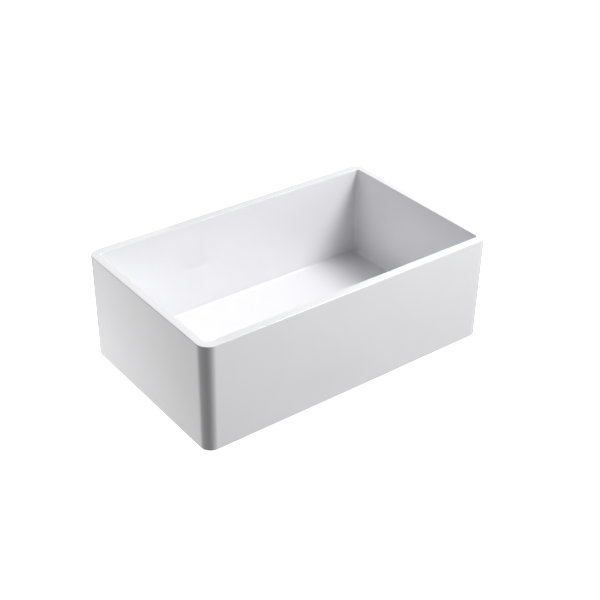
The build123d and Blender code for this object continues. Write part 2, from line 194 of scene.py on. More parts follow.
def piece(name, shell, body, slot, node, sharp_deg=38.0):
    """A mesh of a shell, smooth but for its sharp edges. It rides a body and stands for a node."""
    mesh = bpy.data.meshes.new(name)
    mesh.from_pydata([[value * MM for value in point] for point in shell.points], [], shell.faces)
    mesh.validate()
    mesh.update()
    mesh.shade_smooth()
    mesh.set_sharp_from_angle(angle=math.radians(sharp_deg))
    mesh.materials.append(FINISHES[slot])
    thing = bpy.data.objects.new(name, mesh)
    bpy.context.scene.collection.objects.link(thing)
    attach(thing, body)
    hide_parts(node)
    outward(mesh)
    return thing


def even_shading(thing):
    """Large faces keep their own direction, so that only the rounds shade as rounds."""
    weighted = thing.modifiers.new("even_shading", "WEIGHTED_NORMAL")
    weighted.keep_sharp = True


class Shell:
    """Collects loops of points, and the faces that join them."""

    def __init__(self):
        self.points = []
        self.faces = []

    def loop(self, points):
        first = len(self.points)
        self.points += [tuple(point) for point in points]
        return list(range(first, len(self.points)))

    def join(self, low, high):
        """Faces between two closed loops. A loop of one point is a pole."""
        count = max(len(low), len(high))
        for i in range(count):
            j = (i + 1) % count
            corners = [low[i % len(low)], low[j % len(low)], high[j % len(high)], high[i % len(high)]]
            self.faces.append(list(dict.fromkeys(corners)))

    def skin(self, loops, closed=False):
        for low, high in zip(loops, loops[1:]):
            self.join(low, high)
        if closed:
            self.join(loops[-1], loops[0])

    def bar(self, loops):
        """A skin with a face at each end."""
        self.skin(loops)
        self.faces.append(loops[0][::-1])
        self.faces.append(loops[-1])


def rounded(corners, steps=5, closed=True):
    """A section with its corners rounded, each (radius, height, round). An open section's ends stay put."""
    nearly_straight = math.radians(89)
    most_of_side = 0.49
    out = []
    count = len(corners)
    for i, corner in enumerate(corners):
        here = Vector(corner[:2])
        if not closed and i in (0, count - 1):
            out.append(here)
            continue
        before = Vector(corners[i - 1][:2]) - here
        after = Vector(corners[(i + 1) % count][:2]) - here
        half = before.angle(after) / 2
        if half > nearly_straight:
            out.append(here)
            continue
        room = most_of_side * min(before.length, after.length)
        reach = min(corner[2] / math.tan(half), room)
        radius = reach * math.tan(half)
        towards = (before.normalized() + after.normalized()).normalized()
        centre = here + towards * (radius / math.sin(half))
        start = here + before.normalized() * reach - centre
        end = here + after.normalized() * reach - centre
        turn = start.angle_signed(end)
        for step in range(steps + 1):
            angle = -turn * step / steps
            swing = Vector((
                start.x * math.cos(angle) - start.y * math.sin(angle),
                start.x * math.sin(angle) + start.y * math.cos(angle),
            ))
            out.append(centre + swing)
    return out


def at(radius, angle, z):
    """A point at an angle round the drain axis."""
    return (radius * math.cos(angle), radius * math.sin(angle), z)


def circle(radius, z, count):
    turn = math.tau / count
    return [at(radius, i * turn, z) for i in range(count)]


def turn_section(shell, corners, count=128, steps=5, closed=True):
    """Turns a section about the drain axis. A point on the axis becomes a pole."""
    on_axis = 1e-6
    loops = [
        shell.loop([(0, 0, point.y)] if abs(point.x) < on_axis else circle(point.x, point.y, count))
        for point in rounded(corners, steps, closed)
    ]
    shell.skin(loops, closed)


def turned(name, node, slot, corners, body="root", count=128, steps=4, closed=True):
    """A piece of its own, turned about the drain axis."""
    shell = Shell()
    turn_section(shell, corners, count, steps, closed)
    even_shading(piece(name, shell, body, slot, node))


def thread(shell, crest, top_z, foot_z, steps):
    """One ridge wound down a cylinder, thinning out at both ends."""
    root = crest - THREAD_DEPTH
    total = int((top_z - foot_z) / THREAD_PITCH * steps)
    half_pitch = 0.5 * THREAD_PITCH
    loops = []
    for i in range(total + 1):
        turn = i / steps
        height = min(1.0, turn / THREAD_FADE_TURNS, (total - i) / steps / THREAD_FADE_TURNS)
        z = top_z - THREAD_PITCH * turn
        high = root + THREAD_DEPTH * height - 0.02 * (1 - height)
        # one flank of the ridge: radius, and distance from its middle as a share of half the pitch
        flank = [
            (root - THREAD_BEDDING, 0.78),
            (root + 0.02 * height, 0.62),
            (high - 0.08 * height, 0.16),
            (high, 0.09),
        ]
        section = [(radius, z + share * half_pitch) for radius, share in flank]
        section += [(radius, z - share * half_pitch) for radius, share in reversed(flank)]
        loops.append(shell.loop([at(radius, math.tau * turn, h) for radius, h in section]))
    shell.bar(loops)


# ======== materials ========
def math_node(tree, operation, first, second):
    """A sum or the like of two values, each a number or a socket."""
    node = tree.nodes.new("ShaderNodeMath")
    node.operation = operation
    for value, socket in ((first, node.inputs[0]), (second, node.inputs[1])):
        if isinstance(value, (int, float)):
            socket.default_value = value
        else:
            tree.links.new(value, socket)
    return node.outputs[0]


class Nodes:
    """A material's node tree, with short calls to add and link nodes."""

    def __init__(self, name):
        self.material = bpy.data.materials.new(name)
        self.material.use_nodes = True
        self.tree = self.material.node_tree
        self.tree.nodes.clear()
        self.shader = self.add("ShaderNodeBsdfPrincipled")
        output = self.add("ShaderNodeOutputMaterial")
        self.link(self.shader.outputs["BSDF"], output.inputs["Surface"])
        self.place = self.add("ShaderNodeTexCoord").outputs["Object"]

    def add(self, kind):
        return self.tree.nodes.new(kind)

    def link(self, start, end):
        self.tree.links.new(start, end)

    def grain(self, scale, detail, rough):
        """A noise node with no place linked to it yet."""
        node = self.add("ShaderNodeTexNoise")
        node.inputs["Scale"].default_value = scale
        node.inputs["Detail"].default_value = detail
        node.inputs["Roughness"].default_value = rough
        return node

    def noise(self, scale, detail=2.0, rough=0.5):
        node = self.grain(scale, detail, rough)
        self.link(self.place, node.inputs["Vector"])
        return node.outputs["Fac"]

    def spread(self, value, low, high, to_low=0.0, to_high=1.0, smooth=False):
        """Maps the range from low to high onto another, and holds its ends."""
        node = self.add("ShaderNodeMapRange")
        node.interpolation_type = "SMOOTHSTEP" if smooth else "LINEAR"
        self.link(value, node.inputs["Value"])
        node.inputs["From Min"].default_value = low
        node.inputs["From Max"].default_value = high
        node.inputs["To Min"].default_value = to_low
        node.inputs["To Max"].default_value = to_high
        return node.outputs["Result"]

    def blend(self, factor, first, second):
        """A mix of two colours, each a colour or a socket."""
        node = self.add("ShaderNodeMix")
        node.data_type = "RGBA"
        self.link(factor, node.inputs[0])
        for value, socket in ((first, node.inputs[6]), (second, node.inputs[7])):
            if isinstance(value, tuple):
                socket.default_value = (*value, 1.0)
            else:
                self.link(value, socket)
        return node.outputs[2]

    def math(self, operation, first, second):
        return math_node(self.tree, operation, first, second)

    def bump(self, height, distance, before=None):
        node = self.add("ShaderNodeBump")
        node.inputs["Strength"].default_value = 1.0
        node.inputs["Distance"].default_value = distance
        self.link(height, node.inputs["Height"])
        if before:
            self.link(before, node.inputs["Normal"])
        return node.outputs["Normal"]

    def vector(self, operation, first, second=None):
        """Vector arithmetic. The second value is a vector or a socket, and may be left out."""
        node = self.add("ShaderNodeVectorMath")
        node.operation = operation
        self.link(first, node.inputs[0])
        if isinstance(second, tuple):
            node.inputs[1].default_value = second
        elif second is not None:
            self.link(second, node.inputs[1])
        return node.outputs["Value" if operation == "LENGTH" else "Vector"]

    def turned_noise(self, scale, detail=2.0, rough=0.5, streak=0.0006):
        """Noise drawn out round the drain axis, as turning and brushing marks are."""
        flat = self.vector("MULTIPLY", self.place, (1, 1, 0))
        radius = self.vector("LENGTH", flat)
        around = self.vector("MULTIPLY", self.vector("NORMALIZE", flat), (streak, streak, 0))
        height = self.vector("MULTIPLY", self.place, (0, 0, 1))
        node = self.grain(scale, detail, rough)
        node.noise_dimensions = "4D"
        self.link(self.vector("ADD", around, height), node.inputs["Vector"])
        self.link(radius, node.inputs["W"])
        return node.outputs["Fac"]

    def set(self, **values):
        """Gives the shader its values, each a number, a colour or a socket, and returns the material."""
        for key, value in values.items():
            socket = self.shader.inputs[key.replace("_", " ")]
            if isinstance(value, bpy.types.NodeSocket):
                self.link(value, socket)
            elif isinstance(value, tuple):
                socket.default_value = (*value, 1.0)
            else:
                socket.default_value = value
        return self.material


def glaze():
    """White gloss glaze over fireclay. The underside and the foot below the glaze's edge are bare clay."""
    n = Nodes("white_glaze")
    split = n.add("ShaderNodeSeparateXYZ")
    n.link(n.place, split.inputs[0])
    wander = n.spread(n.noise(60.0, 3.0), 0.3, 0.7, -0.0009, 0.0009)
    above = n.math("ADD", split.outputs[2], wander)
    bare = n.spread(above, 0.0011, 0.0017, 1.0, 0.0, smooth=True)
    cloud = n.noise(9.0, 2.0)
    white = n.blend(n.spread(cloud, 0.3, 0.7), (0.888, 0.888, 0.908), (0.902, 0.902, 0.922))
    grain = n.noise(900.0, 3.0, 0.6)
    clay = n.blend(n.spread(grain, 0.35, 0.65), (0.70, 0.63, 0.53), (0.80, 0.74, 0.65))
    spots = n.spread(n.noise(2600.0, 1.0), 0.70, 0.76)
    clay = n.blend(spots, clay, (0.42, 0.33, 0.25))
    smooth = n.spread(cloud, 0.3, 0.7, 0.06, 0.09)
    dull = n.spread(grain, 0.3, 0.7, 0.78, 0.92)
    gloss = n.add("ShaderNodeMix")
    n.link(bare, gloss.inputs[0])
    n.link(smooth, gloss.inputs[2])
    n.link(dull, gloss.inputs[3])
    slow = n.bump(n.noise(22.0, 1.0), 0.00016)
    peel = n.bump(n.noise(420.0, 1.0), 0.000004, before=slow)
    pits = n.math("MULTIPLY", grain, bare)
    return n.set(
        Base_Color=n.blend(bare, white, clay),
        Roughness=gloss.outputs[0],
        IOR=1.52,
        Normal=n.bump(pits, 0.00006, before=peel),
    )


def satin_steel():
    n = Nodes("satin_steel")
    rings = n.turned_noise(2600.0, 3.0, 0.6)
    wear = n.noise(55.0, 3.0)
    brushed = n.spread(rings, 0.2, 0.8, 0.42, 0.54)
    handled = n.spread(wear, 0.3, 0.7, -0.02, 0.02)
    return n.set(
        Base_Color=n.blend(n.spread(wear, 0.3, 0.7), (0.585, 0.580, 0.570), (0.655, 0.652, 0.645)),
        Metallic=1.0,
        Roughness=n.math("ADD", brushed, handled),
        Normal=n.bump(rings, 0.0000016),
    )


def bare_brass():
    n = Nodes("bare_brass")
    rings = n.turned_noise(1500.0)
    tarnish = n.spread(n.noise(70.0, 4.0, 0.6), 0.42, 0.70)
    turned_finish = n.spread(rings, 0.2, 0.8, 0.20, 0.32)
    dulled = n.spread(tarnish, 0.0, 1.0, 0.0, 0.16)
    return n.set(
        Base_Color=n.blend(tarnish, (0.80, 0.60, 0.28), (0.52, 0.36, 0.17)),
        Metallic=1.0,
        Roughness=n.math("ADD", turned_finish, dulled),
        Normal=n.bump(rings, 0.000003),
    )


def chrome_plate():
    n = Nodes("chrome_plate")
    smear = n.noise(34.0, 4.0, 0.6)
    return n.set(
        Base_Color=n.blend(n.spread(smear, 0.3, 0.7), (0.700, 0.712, 0.730), (0.750, 0.760, 0.775)),
        Metallic=1.0,
        Roughness=n.spread(smear, 0.35, 0.75, 0.045, 0.12),
        Normal=n.bump(n.noise(130.0, 2.0), 0.00002),
    )


def black_rubber():
    n = Nodes("black_rubber")
    grain = n.noise(2200.0, 3.0, 0.6)
    bloom = n.noise(80.0, 3.0)
    return n.set(
        Base_Color=n.blend(n.spread(bloom, 0.35, 0.75), (0.018, 0.018, 0.019), (0.045, 0.045, 0.044)),
        Roughness=n.spread(grain, 0.3, 0.7, 0.50, 0.68),
        Normal=n.bump(grain, 0.000015),
    )


def putty():
    n = Nodes("putty")
    lumps = n.noise(300.0, 4.0, 0.6)
    return n.set(
        Base_Color=n.blend(n.spread(lumps, 0.3, 0.7), (0.60, 0.55, 0.45), (0.70, 0.66, 0.56)),
        Roughness=n.spread(lumps, 0.3, 0.7, 0.55, 0.75),
        Normal=n.bump(lumps, 0.00015),
    )


def pressed_fibre():
    n = Nodes("pressed_fibre")
    fibres = n.turned_noise(1400.0, 5.0, 0.7, 0.008)
    return n.set(
        Base_Color=n.blend(n.spread(fibres, 0.3, 0.7), (0.26, 0.18, 0.11), (0.44, 0.33, 0.21)),
        Roughness=n.spread(fibres, 0.3, 0.7, 0.75, 0.92),
        Normal=n.bump(fibres, 0.000025),
    )


def natural_plastic():
    n = Nodes("natural_plastic")
    flow = n.noise(160.0, 2.0)
    return n.set(
        Base_Color=n.blend(n.spread(flow, 0.3, 0.7), (0.76, 0.74, 0.67), (0.82, 0.80, 0.74)),
        Roughness=n.spread(flow, 0.3, 0.7, 0.30, 0.42),
        Subsurface_Weight=0.25,
        Subsurface_Scale=0.002,
        Normal=n.bump(n.noise(900.0, 2.0), 0.00001),
    )


# the material of each of the record's slots
FINISHES = {
    "fireclay_glaze": glaze(),
    "strainer_steel": satin_steel(),
    "bare_brass": bare_brass(),
    "chrome_plate": chrome_plate(),
    "black_rubber": black_rubber(),
    "putty": putty(),
    "fibre": pressed_fibre(),
    "natural_plastic": natural_plastic(),
}


# ======== bowl ========
CORNER_STEPS = 16
LONG_STEPS = 48
SHORT_STEPS = 32
LOOP_COUNT = 4 * CORNER_STEPS + 2 * LONG_STEPS + 2 * SHORT_STEPS
OUTER_ROUND_STEPS = 6
INNER_ROUND_STEPS = 8
FILLET_STEPS = 9
WALL_ROWS = 26
UNDERSIDE_ROWS = 9
FLOOR_ROWS = 14
FLOOR_ROW_CROWDING = 1.3


def outline(half_x, front_y, back_y, radius):
    """Points round a rectangle with rounded corners, from its right side, each with its outward direction."""
    flat_x = half_x - radius
    middle_y = (front_y + back_y) / 2
    half_y = (back_y - front_y) / 2
    flat_y = half_y - radius
    out = []

    def side(start, end, steps, direction):
        for step in range(steps):
            out.append((start.lerp(end, step / steps) + Vector((0, middle_y)), direction))

    def corner(x, y, first_deg):
        for step in range(CORNER_STEPS):
            angle = math.radians(first_deg + 90 * step / CORNER_STEPS)
            direction = Vector((math.cos(angle), math.sin(angle)))
            out.append((Vector((x, y + middle_y)) + radius * direction, direction))

    half = SHORT_STEPS // 2
    side(Vector((half_x, 0)), Vector((half_x, flat_y)), half, Vector((1, 0)))
    corner(flat_x, flat_y, 0)
    side(Vector((flat_x, half_y)), Vector((-flat_x, half_y)), LONG_STEPS, Vector((0, 1)))
    corner(-flat_x, flat_y, 90)
    side(Vector((-half_x, flat_y)), Vector((-half_x, -flat_y)), SHORT_STEPS, Vector((-1, 0)))
    corner(-flat_x, -flat_y, 180)
    side(Vector((-flat_x, -half_y)), Vector((flat_x, -half_y)), LONG_STEPS, Vector((0, -1)))
    corner(flat_x, -flat_y, 270)
    side(Vector((half_x, -flat_y)), Vector((half_x, 0)), half, Vector((1, 0)))
    return out


def floor_z(x, y):
    return FLOOR_AT_DRAIN + FLOOR_SLOPE * max(0.0, math.hypot(x, y) - FLANGE_RECESS)


def quarter(steps):
    """Angles from 0 to 90 degrees."""
    return [math.pi / 2 * step / steps for step in range(steps + 1)]


def bowl():
    shell = Shell()
    loops = []
    half_x, half_y = BASIN_WIDTH / 2, BASIN_DEPTH / 2
    outside = outline(half_x, -half_y, half_y, OUTER_CORNER)
    inside = outline(half_x - SIDE_WALL, FRONT_WALL - half_y, half_y - BACK_WALL, INNER_CORNER)

    def ring(line, inset, z):
        loops.append(shell.loop([(*(point - inset * way), z) for point, way in line]))

    # outer wall, from the rim's round down to the foot's round
    for angle in reversed(quarter(OUTER_ROUND_STEPS)):
        drop = RIM_OUTER_ROUND * (1 - math.sin(angle))
        ring(outside, RIM_OUTER_ROUND * (1 - math.cos(angle)) + drop * OUTER_DRAFT, BASIN_HEIGHT - drop)
    top = BASIN_HEIGHT - RIM_OUTER_ROUND
    for row in range(1, WALL_ROWS):
        z = top + (FOOT_ROUND - top) * row / WALL_ROWS
        ring(outside, (BASIN_HEIGHT - z) * OUTER_DRAFT, z)
    foot_inset = (BASIN_HEIGHT - FOOT_ROUND) * OUTER_DRAFT
    for angle in quarter(OUTER_ROUND_STEPS):
        ring(outside, foot_inset + FOOT_ROUND * (1 - math.cos(angle)), FOOT_ROUND * (1 - math.sin(angle)))

    # underside, in to the gasket's recess, then up through the drain hole to the flange's recess
    edge = [point - (foot_inset + FOOT_ROUND) * way for point, way in outside]
    rim_of_recess = circle(GASKET_RECESS + CLAY_EDGE_ROUND, 0, LOOP_COUNT)
    for row in range(1, UNDERSIDE_ROWS):
        share = row / UNDERSIDE_ROWS
        loops.append(shell.loop([
            (*near.lerp(Vector(far[:2]), share), 0) for near, far in zip(edge, rim_of_recess)
        ]))
    # the ends of this section are not used: they give its first and last rounds their directions
    lead = 6
    seat = rounded(
        [
            (GASKET_RECESS + lead, 0),
            (GASKET_RECESS, 0, CLAY_EDGE_ROUND),
            (GASKET_RECESS, GASKET_RECESS_Z, 0.6),
            (DRAIN_HOLE, GASKET_RECESS_Z, CLAY_EDGE_ROUND),
            (DRAIN_HOLE, FLANGE_SEAT_Z, DRAIN_EDGE_ROUND),
            (FLANGE_RECESS, FLANGE_SEAT_Z, CLAY_EDGE_ROUND),
            (FLANGE_RECESS, FLOOR_AT_DRAIN, RECESS_EDGE_ROUND),
            (FLANGE_RECESS + lead, FLOOR_AT_DRAIN + lead * FLOOR_SLOPE),
        ],
        closed=False,
    )
    loops += [shell.loop(circle(point.x, point.y, LOOP_COUNT)) for point in seat[1:-1]]

    # bowl's floor, out to the fillet
    insets = [(BASIN_HEIGHT - floor_z(*point)) * INNER_DRAFT for point, way in inside]
    foot_line = [point - (inset + FLOOR_FILLET) * way for (point, way), inset in zip(inside, insets)]
    recess = circle(FLANGE_RECESS + RECESS_EDGE_ROUND, 0, LOOP_COUNT)
    for row in range(1, FLOOR_ROWS):
        share = (row / FLOOR_ROWS) ** FLOOR_ROW_CROWDING
        flat = [Vector(near[:2]).lerp(far, share) for near, far in zip(recess, foot_line)]
        loops.append(shell.loop([(*point, floor_z(*point)) for point in flat]))
    floor_at_wall = [floor_z(*point) for point in foot_line]
    for angle in quarter(FILLET_STEPS):
        loops.append(shell.loop([
            (
                *(point - (inset + FLOOR_FILLET * (1 - math.sin(angle))) * way),
                low + FLOOR_FILLET * (1 - math.cos(angle)),
            )
            for (point, way), inset, low in zip(inside, insets, floor_at_wall)
        ]))

    # inner wall, up to the rim's inner round, and the flat of the rim
    top = BASIN_HEIGHT - RIM_INNER_ROUND
    for row in range(1, WALL_ROWS):
        share = row / WALL_ROWS
        heights = [low + FLOOR_FILLET + (top - low - FLOOR_FILLET) * share for low in floor_at_wall]
        loops.append(shell.loop([
            (*(point - (BASIN_HEIGHT - z) * INNER_DRAFT * way), z)
            for (point, way), z in zip(inside, heights)
        ]))
    for angle in quarter(INNER_ROUND_STEPS):
        drop = RIM_INNER_ROUND * (1 - math.sin(angle))
        ring(inside, -RIM_INNER_ROUND * (1 - math.cos(angle)) + drop * INNER_DRAFT, BASIN_HEIGHT - drop)
    shell.skin(loops, closed=True)
    made = piece("glazed_bowl", shell, "root", "fireclay_glaze", "sink_basin", sharp_deg=70.0)
    settle(made.data)
    even_shading(made)


def settle(mesh):
    """Fired clay is never quite flat: the walls and floor wander in by a few tenths of a millimetre.

    The drain's seats and the foot stay true, and the wander grows with the distance from them.
    The mesh is in metres already, and so are these lengths.
    """
    wander = 0.55 * MM
    waves = 7.0
    true_radius = 0.075
    radius_fade = 0.08
    true_height = 0.004
    height_fade = 0.03
    mesh.update()
    ways = [vertex.normal.copy() for vertex in mesh.vertices]
    for vertex, way in zip(mesh.vertices, ways):
        spot = vertex.co.copy()
        from_drain = math.hypot(spot.x, spot.y)
        past_drain = min(1.0, max(0.0, (from_drain - true_radius) / radius_fade))
        above_foot = min(1.0, max(0.0, (spot.z - true_height) / height_fade))
        slow = 0.5 + 0.5 * noise.noise(spot * waves)
        vertex.co = spot - way * (wander * slow * past_drain * above_foot)


# ======== strainer and its clamp ========
def strainer():
    shell = Shell()
    root = CUP_THREAD - THREAD_DEPTH
    turn_section(
        shell,
        [
            (FLANGE_RADIUS, FLANGE_FOOT_Z, 0.2),
            (FLANGE_RADIUS, FLANGE_EDGE_Z, 0.5),
            (CROWN_RADIUS, CROWN_Z, 12.0),
            (NECK_BORE, CROWN_Z, 2.2),
            (NECK_BORE, BASKET_LEDGE_Z, 0.4),
            (CUP_BORE, BASKET_LEDGE_Z, 0.3),
            (CUP_BORE, CUP_WALL_FOOT_Z, 5.0),
            (CUP_DISH, CUP_BOTTOM_Z, 4.0),
            (COLLAR_NECK, CUP_BOTTOM_Z, 0.2),
            (COLLAR_NECK, CUP_UNDERSIDE_Z, 0.2),
            (CUP_DISH_OUTSIDE, CUP_UNDERSIDE_Z, 5.0),
            (root, CUP_WALL_END_Z, 4.0),
            (root, THREAD_RELIEF_Z, 0.2),
            (CUP_THREAD, PLAIN_NECK_Z, 0.2),
            (CUP_THREAD, FLANGE_FOOT_Z, 0.4),
        ],
        count=192,
    )
    thread(shell, CUP_THREAD, CUP_THREAD_TOP_Z, CUP_WALL_FOOT_Z, steps=144)
    even_shading(piece("strainer_cup", shell, "root", "strainer_steel", "strainer_body"))


def collar():
    shell = Shell()
    root = COLLAR_THREAD - THREAD_DEPTH
    turn_section(shell, [
        (COLLAR_BORE, COLLAR_LIP_Z, 0.6),
        (COLLAR_LIP, COLLAR_LIP_Z, 0.6),
        (COLLAR_LIP, CUP_BOTTOM_Z, 0.1),
        (COLLAR_NECK, CUP_BOTTOM_Z, 0.05),
        (COLLAR_NECK, CUP_UNDERSIDE_Z, 0.05),
        (COLLAR_SHOULDER, CUP_UNDERSIDE_Z, 0.2),
        (COLLAR_SHOULDER, COLLAR_SHOULDER_Z, 0.5),
        (root, COLLAR_SHOULDER_Z, 0.2),
        (root, COLLAR_FOOT_Z, 0.3),
        (COLLAR_BORE, COLLAR_FOOT_Z, 0.3),
    ])
    thread(shell, COLLAR_THREAD, COLLAR_THREAD_TOP_Z, COLLAR_THREAD_FOOT_Z, steps=96)

    # cross bars from a hub, which the snap clip passes through
    turn_section(
        shell,
        [
            (HUB_RADIUS, BAR_FOOT_Z, 0.4),
            (HUB_RADIUS, BAR_TOP_Z, 0.4),
            (HUB_BORE, BAR_TOP_Z, 0.4),
            (HUB_BORE, BAR_FOOT_Z, 0.4),
        ],
        count=64,
    )
    section = rounded(
        [
            (-BAR_HALF_WIDTH, BAR_FOOT_Z, 0.5),
            (BAR_HALF_WIDTH, BAR_FOOT_Z, 0.5),
            (BAR_HALF_WIDTH, BAR_TOP_Z, 0.5),
            (-BAR_HALF_WIDTH, BAR_TOP_Z, 0.5),
        ],
        steps=3,
    )
    for bar in range(CROSS_BARS):
        angle = bar * math.tau / CROSS_BARS
        along = Vector((math.cos(angle), math.sin(angle), 0))
        across = Vector((-math.sin(angle), math.cos(angle), 0))
        shell.bar([
            shell.loop([along * station + across * p.x + Vector((0, 0, p.y)) for p in section])
            for station in BAR_STATIONS
        ])
    even_shading(piece("brass_collar", shell, "root", "bare_brass", "outlet_collar"))


def putty_bead():
    """Soft putty, pressed out a little unevenly round the flange's edge."""
    count = 180
    # share of what is pressed out, and height, from the bowl's seat up to the flange
    rows = ((0.0, 22.0), (0.7, 22.02), (1.0, 22.25), (1.0, 22.6), (0.75, 22.88), (0.0, 22.9))
    shell = Shell()
    loops = []
    for share, z in rows:
        ring = []
        for i in range(count):
            angle = math.tau * i / count
            bulge = noise.noise(Vector((math.cos(angle), math.sin(angle), 0.3)) * PUTTY_WAVES)
            radius = PUTTY_EDGE + share * (PUTTY_PRESSED_OUT + PUTTY_UNEVEN * bulge)
            ring.append(at(radius, angle, z))
        loops.append(shell.loop(ring))
    loops.append(shell.loop(circle(PUTTY_BORE, 22.88, count)))
    loops.append(shell.loop(circle(PUTTY_BORE, 22.02, count)))
    shell.skin(loops, closed=True)
    even_shading(piece("putty_bead", shell, "root", "putty", "putty_seal", sharp_deg=80.0))


def ribbed_ring(shell, rows, ribs, rib_half, count_per_rib):
    """Loops whose radius rises at evenly spaced ribs. Each row is (radius, reach of the ribs, height)."""
    # one side of a rib: distance beyond its half width, and share of its reach
    side = ((1.1, 0.0), (0.45, 0.06), (0.1, 0.25), (0.0, 0.75), (-0.12, 0.92), (-0.45, 1.0))
    left = [(-(rib_half + beyond), lift) for beyond, lift in side]
    right = [(-offset, lift) for offset, lift in reversed(left)]
    shape = [*left, (0.0, 1.0), *right]
    spots = []
    sector = math.tau / ribs
    widest = rows[0][0]
    plain = count_per_rib - len(shape)
    for rib in range(ribs):
        middle = rib * sector
        spots += [(middle + offset / widest, lift) for offset, lift in shape]
        start = middle + shape[-1][0] / widest
        end = middle + sector + shape[0][0] / widest
        spots += [(start + (end - start) * (i + 1) / (plain + 1), 0.0) for i in range(plain)]
    loops = [
        shell.loop([at(radius + reach * lift, angle, z) for angle, lift in spots])
        for radius, reach, z in rows
    ]
    shell.skin(loops, closed=True)


def clamp_nut():
    """Cast ring with lugs for a spud wrench: its flange, then its barrel with the lugs, then its bore."""
    shell = Shell()
    rows = [
        (43.6, 0, -0.3), (44.2, 0, 0.25), (44.6, 0, 0.3), (57.2, 0, 0.3), (57.75, 0, 0.15), (58.0, 0, -0.3),
        (58.0, 0, -1.5), (57.75, 0, -2.0), (57.2, 0, -2.2),
        (51.6, 4.4, -2.2), (50.5, 5.5, -2.4), (50.1, 5.9, -2.9), (50.0, 6.0, -3.6),
        (50.0, 6.0, -7.0), (50.0, 5.95, -10.6), (50.0, 5.8, -11.2), (50.0, 5.3, -11.6), (50.0, 4.4, -11.7),
        (50.0, 0.4, -11.75), (49.95, 0, -11.95), (49.7, 0, -12.4), (49.1, 0, -12.7),
        (44.9, 0, -12.7), (44.3, 0, -12.5), (43.6, 0, -11.8), (43.6, 0, -6.0),
    ]
    ribbed_ring(shell, rows, ribs=8, rib_half=3.5, count_per_rib=26)
    even_shading(piece("clamp_nut", shell, "root", "bare_brass", "locknut"))


def hand_nut():
    """Chromed slip nut: its mouth, its barrel ribbed for the hand, and the lip under the tube's flange."""
    shell = Shell()
    rows = [
        (24.0, 0, -46.0), (24.0, 0, -44.6), (24.4, 0, -44.05), (24.8, 0, -44.0),
        (26.7, 0, -44.0), (27.2, 0, -44.2), (27.45, 0, -44.6), (27.5, 0, -45.2),
        (27.5, 0.1, -45.8), (27.5, 0.9, -46.1), (27.5, 1.35, -46.6), (27.5, 1.5, -47.4),
        (27.5, 1.5, -55.0), (27.5, 1.5, -61.8), (27.5, 1.35, -62.5), (27.5, 0.9, -63.0), (27.5, 0.1, -63.3),
        (27.4, 0, -64.0), (26.95, 0, -65.0), (26.2, 0, -65.8), (25.0, 0, -66.2),
        (20.6, 0, -66.2), (20.0, 0, -66.0), (19.7, 0, -65.4), (19.7, 0, -63.4), (19.8, 0, -63.2),
        (23.8, 0, -63.2), (24.0, 0, -63.0), (24.0, 0, -55.0),
    ]
    ribbed_ring(shell, rows, ribs=12, rib_half=2.0, count_per_rib=20)
    even_shading(piece("hand_nut", shell, "root", "chrome_plate", "slip_nut"))


# ======== basket ========
BASKET_SEGMENTS = 360
SHEET = 0.8
HOLE = 1.5
# a hole's edge, from the sheet to the hole: how far beyond the hole, and how far pressed into the cup
HOLE_EDGE = ((0.62, 0.0), (0.16, 0.05), (0.0, 0.2))
CELL_SIDE_PARTS = 4
# rings of holes in the floor, each with its radius and its number of holes
FLOOR_RINGS = ((14.0, 12), (20.5, 18), (27.0, 24))
FLOOR_BAND_EDGES = (11.2, 17.25, 23.75, 29.6)
HOLE_ROWS_Z = (-8.0, -2.5, 3.0)
HOLES_PER_ROW = 30
WALL_BAND_EDGES_Z = (-10.75, -5.25, 0.25, 5.75)
FOOT_ROUND_END_Z = -10.9
PLAIN_ROWS_Z = (10.0, 14.4)


def wall_radius(z):
    slope = (BASKET_TOP - BASKET_FOOT) / (BASKET_RIM_FOOT_Z - BASKET_WALL_FOOT_Z)
    return BASKET_FOOT + slope * (z - BASKET_WALL_FOOT_Z)


def band(shell, inner, outer, low, high, count, shift, middle):
    """A ring of cells between two loops already made at low and high, each with a hole about its middle.

    low, high and middle are (radius, height). shift turns the cells by that many points of a loop.
    """
    step = math.tau / BASKET_SEGMENTS
    per_cell = BASKET_SEGMENTS // count
    low = Vector(low)
    along = Vector(high) - low
    length = along.length
    along.normalize()
    on_wall = abs(along.x) < 0.5
    sides = []
    for cell in range(count):
        angle = (cell * per_cell + shift) * step
        spots = [low + along * (length * part / CELL_SIDE_PARTS) for part in range(1, CELL_SIDE_PARTS)]
        sides.append(shell.loop([at(spot.x, angle, spot.y) for spot in spots]))
    for cell in range(count):
        first = cell * per_cell + shift
        edge = [inner[(first + k) % BASKET_SEGMENTS] for k in range(per_cell + 1)]
        edge += sides[(cell + 1) % count]
        edge += [outer[(first + k) % BASKET_SEGMENTS] for k in range(per_cell, -1, -1)]
        edge += sides[cell][::-1]
        angle = (first + per_cell / 2) * step
        across = Vector((-math.sin(angle), math.cos(angle), 0))
        out = Vector((math.cos(angle), math.sin(angle), 0))
        up = out * along.x + Vector((0, 0, along.y))
        core = out * middle[0] + Vector((0, 0, middle[1]))
        rings = []
        for beyond, pressed in HOLE_EDGE:
            radius = HOLE + beyond
            push = (-out if on_wall else Vector((0, 0, 1))) * pressed
            ring = []
            for index in edge:
                away = Vector(shell.points[index]) - core
                turn = math.atan2(away.dot(up), away.dot(across))
                spot = core + across * (radius * math.cos(turn)) + up * (radius * math.sin(turn))
                lift = middle[0] / math.hypot(spot.x, spot.y) if on_wall else 1.0
                ring.append((spot.x * lift + push.x, spot.y * lift + push.y, spot.z + push.z))
            rings.append(shell.loop(ring))
        shell.skin([edge, *rings])


